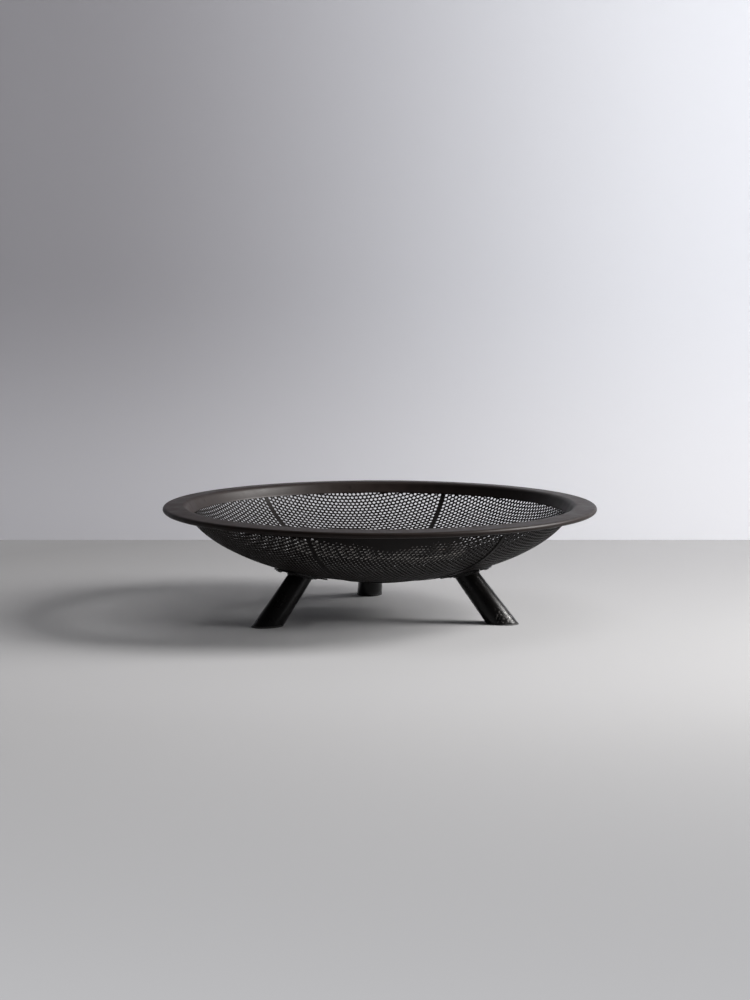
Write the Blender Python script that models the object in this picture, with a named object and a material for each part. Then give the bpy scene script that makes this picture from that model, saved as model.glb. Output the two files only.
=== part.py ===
# Round fire pit: a perforated dish in six pressed gores, hung in a spun rim on three splayed
# tube legs, with a lift-out cast grate. Metres, +Z up, origin on the floor under the dish's centre.
# A plain grid of openings in each gore stands for its fine punching.

import math

import bmesh
import bpy
from mathutils import Matrix, Vector

# Clearance between pieces that touch, and the room round a shank in its hole
GAP = 0.0003

# Dish: its underside follows an ellipse from the centre to the top edge
DISH_RADIUS = 0.3845
DISH_DEPTH = 0.1398
DISH_SWEEP = math.radians(76.5)
GROUND_CLEARANCE = 0.0745
MESH_SHEET = 0.0015
GORE_COUNT = 6
SEAM_ANGLE = math.radians(9)
GORE_TIP_RADIUS = 0.030

# Openings of the gores: rows up the dish, the rib between rows, and the plain sheet left round
# the hub, the skirt and all that stands on the gores
OPENING_ROWS = 6
ROW_RIB = 0.009
OPENING_MARGIN = 0.006

# Rim: a skirt inside the dish, a crest, a flange and an edge rolled round a wire
RIM_SHEET = 0.0018
SKIRT_WIDTH = 0.0185
CREST_BEND = 0.011
FLANGE_WIDTH = 0.0385
FLANGE_FALL = math.radians(3.5)
CURL_RADIUS = 0.0055
CURL_SWEEP = math.radians(270)

# Collar band: the hoop that clamps the gores to the skirt from outside
BAND_WIDTH = 0.0095
BAND_SHEET = 0.0015

# Seam straps under the butted edges of the gores
STRAP_WIDTH = 0.008
STRAP_SHEET = 0.0012
STRAP_END_GAP = 0.003

# Hub: two pressed discs, drawn together by one bolt, that clamp the tips of the gores
HUB_RADIUS = 0.090
HUB_SHEET = 0.0025

# Legs: tapered tubes, cut level at the floor and to the dish at the top
LEG_COUNT = 3
LEG_ANGLE = math.radians(94.5)
LEG_FOOT_CIRCLE = 0.265
LEG_TILT = math.radians(39.8)
LEG_FOOT_RADIUS = 0.0258
LEG_TAPER = 0.030
LEG_WALL = 0.002

# Foot caps: plugs that close the tubes and stand on the floor
CAP_FLANGE = 0.003
CAP_SPIGOT = 0.012

# Leg plates, one under and one inside the dish, and their bolts
PLATE_LENGTH = 0.086
PLATE_WIDTH = 0.076
PLATE_SHEET = 0.003
BOLT_INSET = 0.0095
BOLT_RADIUS = 0.003
BOLT_HEAD_RADIUS = 0.0068
BOLT_HEAD_HEIGHT = 0.0034
HEAD_ROOM = 0.002
BOLT_END = 0.002
NUT_FLATS = 0.010
NUT_HEIGHT = 0.0062
NUT_FLANGE_RADIUS = 0.0071
NUT_FLANGE_SHEET = 0.0014
HUB_BOLT_RADIUS = 0.004

# Rivets of the collar, one at the middle of each gore
RIVET_RADIUS = 0.002
RIVET_HEAD_RADIUS = 0.0038
RIVET_HEAD_HEIGHT = 0.0018

# Straight edge below the dome of every bolt and rivet head
HEAD_EDGE = 0.0003

# Grate: one casting that stands on the dish and lifts out
GRATE_RADIUS = 0.170
GRATE_TOP = 0.136
GRATE_RING_WIDTH = 0.012
GRATE_RING_HEIGHT = 0.011
GRATE_BAR_SPACING = 0.037
GRATE_BAR_TOP_WIDTH = 0.010
GRATE_BAR_FOOT_WIDTH = 0.007
GRATE_BAR_HEIGHT = 0.012
GRATE_BAR_PROUD = 0.001
GRATE_CROSS_DROP = 0.003
GRATE_LEG_TOP_RADIUS = 0.0059
GRATE_LEG_FOOT_RADIUS = 0.0056
GRATE_LEG_COUNT = 3

# Facets, with those of a gore that hold openings counted from its first edge
GORE_STEPS = 10
OPEN_FACETS = (1, 3, 6, 8)
TIP_STATIONS = 2
COLLAR_STATIONS = 2
SMALL_SIDES = 8
WIRE_SIDES = 6
LEG_SIDES = 18
BEND_STEPS = 3
CURL_STEPS = 7
HUB_STATIONS = 3
PLATE_STATIONS = 4
PLATE_COLUMNS = 4
DOME_STEPS = 2
NUT_SIDES = 12
GRATE_LEG_SIDES = 10
SHARP_ANGLE = math.radians(35)
MERGE_DISTANCE = 1e-6

# Passes of each search for a point on the dish
SEARCH_STEPS = 50

# Sizes that follow
HUB_BOLT_SCALE = HUB_BOLT_RADIUS / BOLT_RADIUS
ELLIPSE_WIDTH = DISH_RADIUS / math.sin(DISH_SWEEP)
ELLIPSE_DEPTH = DISH_DEPTH / (1 - math.cos(DISH_SWEEP))
GORE_ANGLE = 2 * math.pi / GORE_COUNT
RING_STEPS = GORE_COUNT * GORE_STEPS
LEG_PITCH = 2 * math.pi / LEG_COUNT
INNER_SEAT = MESH_SHEET + GAP
OUTER_SEAT = -GAP
PLATE_UNDERSIDE = OUTER_SEAT - PLATE_SHEET


def dish_slope(station):
    """Slope of the dish at a station, which is a radius on its underside."""
    share = station / ELLIPSE_WIDTH
    return math.atan(ELLIPSE_DEPTH / ELLIPSE_WIDTH * share / math.sqrt(1 - share * share))


def dish_point(station, inward=0.0):
    """Radius and height of a point at a distance inward from the dish's underside."""
    share = station / ELLIPSE_WIDTH
    height = GROUND_CLEARANCE + ELLIPSE_DEPTH * (1 - math.sqrt(1 - share * share))
    slope = dish_slope(station)
    return Vector((station - inward * math.sin(slope), height + inward * math.cos(slope)))


def station_at(radius, inward):
    """Station whose point at that distance inward lies at a radius from the centre line."""
    station = radius
    for _ in range(SEARCH_STEPS):
        station = radius + inward * math.sin(dish_slope(station))
    return station


def dish_height(radius, inward):
    """Height of the surface that lies a distance inward from the underside."""
    return dish_point(station_at(radius, inward), inward).y


def station_along(start, distance):
    """Station that lies a distance up the dish from another, along the sheet."""
    station = start
    step = distance / SEARCH_STEPS
    for _ in range(SEARCH_STEPS):
        half_way = station + step / 2 * math.cos(dish_slope(station))
        station += step * math.cos(dish_slope(half_way))
    return station


def station_below_edge(distance):
    """Station that lies a distance down the dish from its top edge, along the sheet."""
    return station_along(DISH_RADIUS, -distance)


def stations_between(low, high, count):
    """Stations spaced evenly round the ellipse, so steep stretches get as many as flat ones."""
    start = math.asin(low / ELLIPSE_WIDTH)
    end = math.asin(high / ELLIPSE_WIDTH)
    return [ELLIPSE_WIDTH * math.sin(start + (end - start) * k / count) for k in range(count + 1)]


def collar_stations():
    """Stations of the collar, which the gores and the skirt share so their facets run parallel."""
    return stations_between(station_below_edge(SKIRT_WIDTH), DISH_RADIUS, COLLAR_STATIONS)


def opening_range():
    """Lowest and highest station of the openings."""
    return station_along(HUB_RADIUS, OPENING_MARGIN), station_below_edge(SKIRT_WIDTH + OPENING_MARGIN)


def opening_height():
    """Height of an opening up the sheet, which is also the longest facet of a gore."""
    low, high = opening_range()
    points = [dish_point(station) for station in stations_between(low, high, SEARCH_STEPS)]
    length = sum((after - point).length for point, after in zip(points, points[1:]))
    return (length - (OPENING_ROWS - 1) * ROW_RIB) / OPENING_ROWS


def row_stations():
    """Stations of the lower and upper edge of each row of openings, row by row."""
    low = opening_range()[0]
    height = opening_height()
    starts = [row * (height + ROW_RIB) for row in range(OPENING_ROWS)]
    return [station_along(low, edge) for start in starts for edge in (start, start + height)]


def gore_stations():
    """Stations of the gores, whose top edge stops a gap short of the rim's crest."""
    rows = row_stations()
    tip = stations_between(GORE_TIP_RADIUS, rows[0], TIP_STATIONS)
    return tip[:-1] + rows + collar_stations()[:-1] + [DISH_RADIUS - GAP]


def facet_sag(station):
    """How far the flat facets of the gores lie inside the true curve, at most."""
    turn = math.asin(station / ELLIPSE_WIDTH)
    speed = math.hypot(ELLIPSE_WIDTH * math.cos(turn), ELLIPSE_DEPTH * math.sin(turn))
    curvature = ELLIPSE_WIDTH * ELLIPSE_DEPTH / speed ** 3
    up_the_dish = opening_height() ** 2 / 8 * curvature
    around = station * (1 - math.cos(GORE_ANGLE / GORE_STEPS / 2)) * math.sin(dish_slope(station))
    return up_the_dish + around


def dish_frame(station, angle):
    """Matrix at a station: X up the dish, Z along the inward normal."""
    slope = dish_slope(station)
    radius, height = dish_point(station)
    tilt = Matrix.Rotation(-slope, 4, 'Y')
    return Matrix.Rotation(angle, 4, 'Z') @ Matrix.Translation((radius, 0, height)) @ tilt


def new_material(name, colour, roughness, metallic):
    material = bpy.data.materials.new(name)
    material.use_nodes = True
    shader = material.node_tree.nodes["Principled BSDF"]
    shader.inputs["Base Color"].default_value = (*colour, 1.0)
    shader.inputs["Roughness"].default_value = roughness
    shader.inputs["Metallic"].default_value = metallic
    return material


def finish_mesh(bm, name):
    """Closes off a bmesh as a mesh with outward faces and smooth round sides."""
    bmesh.ops.remove_doubles(bm, verts=bm.verts, dist=MERGE_DISTANCE)
    bmesh.ops.recalc_face_normals(bm, faces=bm.faces)
    mesh = bpy.data.meshes.new(name)
    bm.to_mesh(mesh)
    bm.free()
    mesh.shade_smooth()
    mesh.set_sharp_from_angle(angle=SHARP_ANGLE)
    return mesh


def add_object(name, mesh, material, angle=0.0):
    """Links an object at the origin, turned about the centre line."""
    piece = bpy.data.objects.new(name, mesh)
    piece.rotation_euler.z = angle
    if material is not None and not mesh.materials:
        mesh.materials.append(material)
    bpy.context.collection.objects.link(piece)
    return piece


def turned_mesh(name, profile, steps, start=0.0):
    """Turns a closed profile of radius and height about Z, into a solid ring or disc."""
    bm = bmesh.new()
    verts = [bm.verts.new((max(r, 0.0), 0.0, z)) for r, z in profile]
    pairs = [(verts[k - 1], verts[k]) for k in range(len(verts))]
    edges = [bm.edges.new(pair) for pair in pairs if max(v.co.x for v in pair) > MERGE_DISTANCE]
    bmesh.ops.rotate(bm, verts=verts, cent=(0, 0, 0), matrix=Matrix.Rotation(start, 3, 'Z'))
    bmesh.ops.spin(bm, geom=verts + edges, cent=(0, 0, 0), axis=(0, 0, 1), dvec=(0, 0, 0),
                   angle=2 * math.pi, steps=steps, use_merge=True, use_duplicate=False)
    return finish_mesh(bm, name)


def bridge_rings(bm, rings, closed_ring=True):
    """Quads between each ring of points and the next, and from the last back to the first."""
    rows = [[bm.verts.new(point) for point in ring] for ring in rings]
    count = len(rows[0])
    for a in range(len(rows)):
        near = rows[a]
        far = rows[(a + 1) % len(rows)]
        for k in range(count if closed_ring else count - 1):
            bm.faces.new((near[k], near[(k + 1) % count], far[(k + 1) % count], far[k]))
    return rows


def dish_plate(name, stations, lateral, outer, inner, openings=()):
    """A curved plate on the dish: rows of points at each station, between two distances inward.

    lateral gives, for a radius, the angles of the points across the plate. openings names the
    facets that are left open, each by its row and its place across.
    """
    bm = bmesh.new()
    outline = [(station, outer) for station in stations]
    outline += [(station, inner) for station in reversed(stations)]
    rings = []
    for station, inward in outline:
        radius, height = dish_point(station, inward)
        angles = lateral(radius)
        rings.append([(radius * math.cos(a), radius * math.sin(a), height) for a in angles])
    rows = bridge_rings(bm, rings, closed_ring=False)
    half = len(stations)
    for side in (0, -1):
        for k in range(half - 1):
            low = rows[2 * half - 1 - k]
            high = rows[2 * half - 2 - k]
            bm.faces.new((rows[k][side], rows[k + 1][side], high[side], low[side]))
    for k, place in openings:
        outer_side = (rows[k], rows[k + 1])
        inner_side = (rows[2 * half - 1 - k], rows[2 * half - 2 - k])
        corners = []
        for low, high in (outer_side, inner_side):
            loop = (low[place], low[place + 1], high[place + 1], high[place])
            bm.faces.remove(bm.faces.get(loop))
            corners.append(loop)
        for a in range(len(loop)):
            bm.faces.new((corners[0][a - 1], corners[0][a], corners[1][a], corners[1][a - 1]))
    return finish_mesh(bm, name)


def place_object(name, mesh, material, frame):
    """Links an object whose mesh is drawn in the frame of its seat."""
    piece = add_object(name, mesh, material)
    piece.matrix_world = frame
    return piece


def thicken(path, thickness):
    """Outline of a sheet that is bent along a path of radius and height."""
    left = []
    right = []
    for k, point in enumerate(path):
        ahead = path[min(k + 1, len(path) - 1)]
        behind = path[max(k - 1, 0)]
        along = (ahead - behind).normalized()
        side = Vector((-along.y, along.x)) * thickness / 2
        left.append(point + side)
        right.append(point - side)
    return left + right[::-1]


def arc(centre, radius, start, sweep, steps):
    """Points round an arc, clockwise where sweep is negative."""
    turns = [start + sweep * k / steps for k in range(steps + 1)]
    return [centre + radius * Vector((math.cos(turn), math.sin(turn))) for turn in turns]


def rim_layout():
    """The rim's middle line, and the centre of its rolled edge."""
    middle = INNER_SEAT + RIM_SHEET / 2
    bend = CREST_BEND - RIM_SHEET / 2
    curl = CURL_RADIUS - RIM_SHEET / 2
    slope = dish_slope(DISH_RADIUS)
    skirt = [dish_point(s, middle) for s in collar_stations()]
    bend_centre = skirt[-1] + bend * Vector((math.sin(slope), -math.cos(slope)))
    crest_start = math.pi / 2 + slope
    crest = arc(bend_centre, bend, crest_start, -(slope + FLANGE_FALL), BEND_STEPS)
    outward = Vector((math.cos(FLANGE_FALL), -math.sin(FLANGE_FALL)))
    flange_length = FLANGE_WIDTH - CURL_RADIUS
    curl_start = crest[-1] + flange_length * outward
    curl_centre = curl_start - curl * Vector((math.sin(FLANGE_FALL), math.cos(FLANGE_FALL)))
    rolled = arc(curl_centre, curl, math.pi / 2 - FLANGE_FALL, -CURL_SWEEP, CURL_STEPS)
    return skirt[:-1] + crest + rolled, curl_centre


def make_rim(painted, wire_steel, cutter):
    """The ring, and the wire that its edge is rolled round, which clears the facets of the roll."""
    path, curl_centre = rim_layout()
    ring_mesh = turned_mesh("rim_ring", thicken(path, RIM_SHEET), RING_STEPS, SEAM_ANGLE)
    drill(add_object("rim_ring", ring_mesh, painted), cutter)
    wire_radius = (CURL_RADIUS - RIM_SHEET - GAP) * math.cos(math.pi / CURL_STEPS)
    wire_outline = arc(curl_centre, wire_radius, 0, 2 * math.pi, WIRE_SIDES)[:-1]
    wire_mesh = turned_mesh("rim_edge_wire", wire_outline, RING_STEPS, SEAM_ANGLE)
    add_object("rim_edge_wire", wire_mesh, wire_steel)


def layer_outline(stations, outer, inner):
    """Closed outline of a turned layer that follows the dish."""
    return [dish_point(s, outer) for s in stations] + [dish_point(s, inner) for s in reversed(stations)]


def make_collar_band(painted, cutter):
    """The hoop, with a single facet up its width so that the holes cut it cleanly."""
    low = station_below_edge(BAND_WIDTH)
    outline = layer_outline([low, DISH_RADIUS - GAP], OUTER_SEAT - BAND_SHEET, OUTER_SEAT)
    band = add_object("collar_band", turned_mesh("collar_band", outline, RING_STEPS, SEAM_ANGLE), painted)
    drill(band, cutter)


def footprints():
    """What stands on the gores: its bearing, station, half length up the dish and half width."""
    plate = (plate_centre_station(), PLATE_LENGTH / 2, PLATE_WIDTH / 2)
    foot = (station_at(grate_middle_radius(), INNER_SEAT), GRATE_LEG_FOOT_RADIUS, GRATE_LEG_FOOT_RADIUS)
    plates = [(LEG_ANGLE + index * LEG_PITCH, *plate) for index in range(LEG_COUNT)]
    return plates + [(angle, *foot) for angle in grate_leg_angles()]


def is_clear(low, high, bearing):
    """Whether nothing stands on the gores near a facet between two stations, at a bearing."""
    for other, station, half_length, half_width in footprints():
        reach = (half_length + OPENING_MARGIN) * math.cos(dish_slope(station))
        turn = math.asin((half_width + OPENING_MARGIN) / max(low, station - reach))
        away = (bearing - other + math.pi) % (2 * math.pi) - math.pi
        beside = abs(away) > turn + GORE_ANGLE / GORE_STEPS / 2
        if not (beside or low > station + reach or high < station - reach):
            return False
    return True


def gore_openings(start):
    """Facets of a gore that are left open, each by its row and its place round the gore."""
    stations = gore_stations()
    openings = []
    for row in range(OPENING_ROWS):
        k = TIP_STATIONS + 2 * row
        for place in OPEN_FACETS:
            bearing = start + (place + 0.5) * GORE_ANGLE / GORE_STEPS
            if is_clear(stations[k], stations[k + 1], bearing):
                openings.append((k, place))
    return openings


def make_gores(painted, cutter):
    """Gores whose edges butt, with half a gap on each side of the seam."""
    def across(radius):
        inset = math.asin(GAP / 2 / radius)
        return [inset + (GORE_ANGLE - 2 * inset) * k / GORE_STEPS for k in range(GORE_STEPS + 1)]

    for index in range(GORE_COUNT):
        start = SEAM_ANGLE + index * GORE_ANGLE
        mesh = dish_plate("mesh_panel", gore_stations(), across, 0.0, MESH_SHEET, gore_openings(start))
        drill(add_object(f"mesh_panel_{index + 1}", mesh, painted, start), cutter)


def make_seam_straps(painted):
    """Strips from just outside the hub to just under the band, on the gores' own stations."""
    low = HUB_RADIUS + STRAP_END_GAP
    high = station_below_edge(BAND_WIDTH + STRAP_END_GAP)
    stations = [low] + [s for s in gore_stations() if low < s < high] + [high]

    def across(radius):
        half = math.asin(STRAP_WIDTH / 2 / radius)
        return [-half, 0.0, half]

    mesh = dish_plate("seam_strap", stations, across, OUTER_SEAT - STRAP_SHEET, OUTER_SEAT)
    for index in range(GORE_COUNT):
        add_object(f"seam_strap_{index + 1}", mesh, painted, SEAM_ANGLE + index * GORE_ANGLE)


def make_hub(painted):
    """The two discs, with half as many facets round them as the dish and a hole for their bolt."""
    steps = RING_STEPS // 2
    hole = (HUB_BOLT_RADIUS + GAP) / math.cos(math.pi / steps)
    stations = stations_between(hole, HUB_RADIUS, HUB_STATIONS)
    layers = (("hub_plate_outer", OUTER_SEAT - HUB_SHEET, OUTER_SEAT),
              ("hub_plate_inner", INNER_SEAT, INNER_SEAT + HUB_SHEET))
    for name, outer, inner in layers:
        mesh = turned_mesh(name, layer_outline(stations, outer, inner), steps, SEAM_ANGLE)
        add_object(name, mesh, painted)


def plate_centre_station():
    """Station where the middle line of a leg meets the underside of its plate."""
    low = 0.0
    high = LEG_FOOT_CIRCLE
    for _ in range(SEARCH_STEPS):
        radius = (low + high) / 2
        leg_height = (LEG_FOOT_CIRCLE - radius) / math.tan(LEG_TILT)
        if leg_height < dish_height(radius, PLATE_UNDERSIDE):
            high = radius
        else:
            low = radius
    return station_at(radius, PLATE_UNDERSIDE)


def backing_seat():
    """Distance inward of the backing plates' underside, clear of the gores' facets."""
    return INNER_SEAT + facet_sag(plate_centre_station() + PLATE_LENGTH / 2)


def inboard_bolt_station():
    """Station of the bolt inboard of a leg, whose head clears the tube by the head's room."""
    edge = dish_ring(PLATE_UNDERSIDE - GAP)[LEG_SIDES // 2]
    station = station_at(math.hypot(edge.x, edge.y), PLATE_UNDERSIDE)
    return station - (BOLT_HEAD_RADIUS + HEAD_ROOM) * math.cos(dish_slope(station))


def plate_bolt_places():
    """Station and sideways distance of each bolt of a leg plate: one inboard and two outboard."""
    centre = plate_centre_station()
    outboard = centre + (PLATE_LENGTH / 2 - BOLT_INSET) * math.cos(dish_slope(centre))
    aside = PLATE_WIDTH / 2 - BOLT_INSET
    return [(inboard_bolt_station(), 0.0), (outboard, -aside), (outboard, aside)]


def make_leg_plates(painted, cutter):
    """A saddle under the dish and a backing plate inside it for each leg."""
    centre = plate_centre_station()
    reach = PLATE_LENGTH / 2 * math.cos(dish_slope(centre))
    stations = stations_between(centre - reach, centre + reach, PLATE_STATIONS)

    def across(radius):
        places = [PLATE_WIDTH * (k / PLATE_COLUMNS - 0.5) for k in range(PLATE_COLUMNS + 1)]
        return [math.asin(place / radius) for place in places]

    seat = backing_seat()
    layers = (("leg_saddle", PLATE_UNDERSIDE, OUTER_SEAT), ("leg_backing_plate", seat, seat + PLATE_SHEET))
    for name, outer, inner in layers:
        mesh = dish_plate(name, stations, across, outer, inner)
        for index in range(LEG_COUNT):
            plate = add_object(f"{name}_{index + 1}", mesh, painted, LEG_ANGLE + index * LEG_PITCH)
            drill(plate, cutter)


def leg_side(turn, wall):
    """Start and direction of a straight line up the side of a leg, at an angle round the tube."""
    axis = Vector((-math.sin(LEG_TILT), 0.0, math.cos(LEG_TILT)))
    outward = Vector((math.cos(LEG_TILT), 0.0, math.sin(LEG_TILT)))
    side = math.cos(turn) * outward + math.sin(turn) * Vector((0.0, 1.0, 0.0))
    start = Vector((LEG_FOOT_CIRCLE, 0.0, 0.0)) + (LEG_FOOT_RADIUS - wall) * side
    return start, axis - LEG_TAPER * side


def level_ring(height, wall=0.0):
    """Ring of points where the leg's side is cut level at a height."""
    ring = []
    for k in range(LEG_SIDES):
        start, along = leg_side(2 * math.pi * k / LEG_SIDES, wall)
        ring.append(start + along * (height - start.z) / along.z)
    return ring


def square_ring(distance, wall):
    """Ring of points square to the leg's middle line, a distance up from the floor."""
    ring = []
    for k in range(LEG_SIDES):
        start, along = leg_side(2 * math.pi * k / LEG_SIDES, wall)
        ring.append(start + along * distance)
    return ring


def dish_ring(inward, wall=0.0):
    """Ring of points where the leg's side meets a surface that follows the dish."""
    ring = []
    for k in range(LEG_SIDES):
        start, along = leg_side(2 * math.pi * k / LEG_SIDES, wall)
        low = 0.0
        high = LEG_FOOT_CIRCLE / math.sin(LEG_TILT)
        for _ in range(SEARCH_STEPS):
            middle = (low + high) / 2
            point = start + along * middle
            if point.z < dish_height(math.hypot(point.x, point.y), inward):
                low = middle
            else:
                high = middle
        ring.append(point)
    return ring


def make_legs(painted, cap_material):
    """Tubes, and caps whose spigots end square above the slanted cut."""
    tube = bmesh.new()
    top = PLATE_UNDERSIDE - GAP
    foot = CAP_FLANGE + GAP
    outside = [level_ring(foot), dish_ring(top)]
    bridge_rings(tube, outside + [dish_ring(top, LEG_WALL), level_ring(foot, LEG_WALL)])
    tube_mesh = finish_mesh(tube, "leg_tube")

    plug = bmesh.new()
    inside = LEG_WALL + GAP
    spigot_end = LEG_FOOT_RADIUS * math.tan(LEG_TILT) + CAP_FLANGE / math.cos(LEG_TILT) + CAP_SPIGOT
    rings = [level_ring(0.0), level_ring(CAP_FLANGE)]
    rings += [level_ring(CAP_FLANGE, inside), square_ring(spigot_end, inside)]
    rows = [[plug.verts.new(point) for point in ring] for ring in rings]
    for near, far in zip(rows, rows[1:]):
        for k in range(LEG_SIDES):
            plug.faces.new((near[k - 1], near[k], far[k], far[k - 1]))
    plug.faces.new(rows[0])
    plug.faces.new(rows[-1])
    plug_mesh = finish_mesh(plug, "foot_cap")

    for index in range(LEG_COUNT):
        angle = LEG_ANGLE + index * LEG_PITCH
        add_object(f"leg_tube_{index + 1}", tube_mesh, painted, angle)
        add_object(f"foot_cap_{index + 1}", plug_mesh, cap_material, angle)


def bolt_frames():
    """Seat of each leg bolt, leg by leg."""
    frames = []
    for index in range(LEG_COUNT):
        for station, aside in plate_bolt_places():
            turn = math.asin(aside / station)
            frames.append(dish_frame(station, LEG_ANGLE + index * LEG_PITCH + turn))
    return frames


def collar_rivet_frames():
    """Seat of each rivet, half way up the band at the middle of a gore."""
    station = station_below_edge(BAND_WIDTH / 2)
    return [dish_frame(station, SEAM_ANGLE + (k + 0.5) * GORE_ANGLE) for k in range(GORE_COUNT)]


def hole_radius(shank):
    """Corner radius of a faceted hole whose flats clear the shank by the gap."""
    return (shank + GAP) / math.cos(math.pi / SMALL_SIDES)


def make_cutter():
    """Guides for the holes of the legs' bolts and the rivets, longer than the layers they pass."""
    reach = backing_seat() + PLATE_SHEET + BAND_SHEET + RIM_SHEET
    flats_on = Matrix.Rotation(math.pi / SMALL_SIDES, 4, 'Z')
    bm = bmesh.new()
    for frames, shank in ((bolt_frames(), BOLT_RADIUS), (collar_rivet_frames(), RIVET_RADIUS)):
        for frame in frames:
            bmesh.ops.create_cone(bm, cap_ends=True, segments=SMALL_SIDES, radius1=hole_radius(shank),
                                  radius2=hole_radius(shank), depth=2 * reach, matrix=frame @ flats_on)
    cutter = add_object("hole_guides", finish_mesh(bm, "hole_guides"), None)
    cutter.hide_render = True
    cutter.display_type = 'WIRE'
    return cutter


def drill(piece, cutter):
    """Cuts the holes whose guides pass through a piece."""
    holes = piece.modifiers.new("holes", 'BOOLEAN')
    holes.operation = 'DIFFERENCE'
    holes.solver = 'EXACT'
    holes.object = cutter


def domed_head(radius, height, seat, direction):
    """Points of a domed head from its centre out to its seat: part of a ball over a straight edge."""
    crown = height - HEAD_EDGE
    ball = (radius * radius + crown * crown) / (2 * crown)
    turns = [math.asin(radius / ball) * k / DOME_STEPS for k in range(DOME_STEPS + 1)]
    drops = [ball * (1 - math.cos(turn)) for turn in turns]
    dome = [(ball * math.sin(turn), seat + direction * (height - drop)) for turn, drop in zip(turns, drops)]
    return dome + [(radius, seat)]


def make_rivets(painted):
    """Rivets through the band, the gores and the skirt, headed on both sides."""
    low = OUTER_SEAT - BAND_SHEET - GAP
    high = INNER_SEAT + RIM_SHEET + GAP
    lower = domed_head(RIVET_HEAD_RADIUS, RIVET_HEAD_HEIGHT, low, -1)
    upper = domed_head(RIVET_HEAD_RADIUS, RIVET_HEAD_HEIGHT, high, 1)
    outline = lower + [(RIVET_RADIUS, low), (RIVET_RADIUS, high)] + upper[::-1]
    mesh = turned_mesh("collar_rivet", outline, SMALL_SIDES)
    for index, frame in enumerate(collar_rivet_frames()):
        place_object(f"collar_rivet_{index + 1}", mesh, painted, frame)


def bolt_mesh(name, head_seat, nut_seat, scale):
    """A round-headed bolt whose head seats under the dish and whose end is inside it."""
    end = nut_seat + (NUT_HEIGHT + BOLT_END) * scale
    shank = BOLT_RADIUS * scale
    head = domed_head(BOLT_HEAD_RADIUS * scale, BOLT_HEAD_HEIGHT * scale, head_seat, -1)
    return turned_mesh(name, head + [(shank, head_seat), (shank, end), (0.0, end)], SMALL_SIDES)


def nut_mesh(name, seat, scale):
    """A flanged hexagonal nut on its seat, with a corner and a flat to each pair of facets."""
    bore = (BOLT_RADIUS * scale + GAP) / math.cos(math.pi / NUT_SIDES)
    flat = NUT_FLATS / 2 * scale
    corner = flat / math.cos(math.pi / 6)
    flange = NUT_FLANGE_RADIUS * scale
    flange_top = seat + NUT_FLANGE_SHEET * scale
    top = seat + NUT_HEIGHT * scale
    levels = ((bore, bore, seat), (flange, flange, seat), (flange, flange, flange_top),
              (corner, flat, flange_top), (corner, flat, top), (bore, bore, top))
    bm = bmesh.new()
    rings = []
    for even, odd, height in levels:
        turns = [2 * math.pi * k / NUT_SIDES for k in range(NUT_SIDES)]
        radii = [even if k % 2 == 0 else odd for k in range(NUT_SIDES)]
        rings.append([(r * math.cos(a), r * math.sin(a), height) for r, a in zip(radii, turns)])
    bridge_rings(bm, rings)
    return finish_mesh(bm, name)


def make_bolts(zinc):
    """Bolts with their heads under the saddles and the hub and their nuts inside the dish."""
    head_seat = PLATE_UNDERSIDE - GAP
    nut_seat = backing_seat() + PLATE_SHEET + GAP
    bolt = bolt_mesh("leg_bolt", head_seat, nut_seat, 1.0)
    nut = nut_mesh("leg_nut", nut_seat, 1.0)
    per_leg = len(plate_bolt_places())
    for index, frame in enumerate(bolt_frames()):
        label = f"{index // per_leg + 1}_{index % per_leg + 1}"
        place_object(f"leg_bolt_{label}", bolt, zinc, frame)
        place_object(f"leg_nut_{label}", nut, zinc, frame)
    hub_head_seat = OUTER_SEAT - HUB_SHEET - GAP
    hub_nut_seat = INNER_SEAT + HUB_SHEET + GAP
    hub_bolt = bolt_mesh("hub_bolt", hub_head_seat, hub_nut_seat, HUB_BOLT_SCALE)
    centre = dish_frame(0.0, 0.0)
    place_object("hub_bolt", hub_bolt, zinc, centre)
    place_object("hub_nut", nut_mesh("hub_nut", hub_nut_seat, HUB_BOLT_SCALE), zinc, centre)


def tapered_bar(bm, start, end, top, height):
    """A cast bar with draft: wider at its top than at its foot."""
    along = (end - start).normalized()
    side = Vector((-along.y, along.x, 0.0))
    section = ((GRATE_BAR_FOOT_WIDTH / 2, top - height), (GRATE_BAR_TOP_WIDTH / 2, top),
               (-GRATE_BAR_TOP_WIDTH / 2, top), (-GRATE_BAR_FOOT_WIDTH / 2, top - height))
    ends = []
    for point in (start, end):
        ends.append([bm.verts.new(point + side * x + Vector((0, 0, z))) for x, z in section])
    for k in range(4):
        bm.faces.new((ends[0][k - 1], ends[0][k], ends[1][k], ends[1][k - 1]))
    bm.faces.new(ends[0])
    bm.faces.new(ends[1])


def grate_middle_radius():
    """Radius of the middle line of the grate's ring, which its legs stand under."""
    return GRATE_RADIUS - GRATE_RING_WIDTH / 2


def grate_leg_angles():
    """Bearings of the grate's legs, the first half way between two legs of the fire pit."""
    return [LEG_ANGLE + LEG_PITCH / 2 + k * 2 * math.pi / GRATE_LEG_COUNT for k in range(GRATE_LEG_COUNT)]


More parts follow.
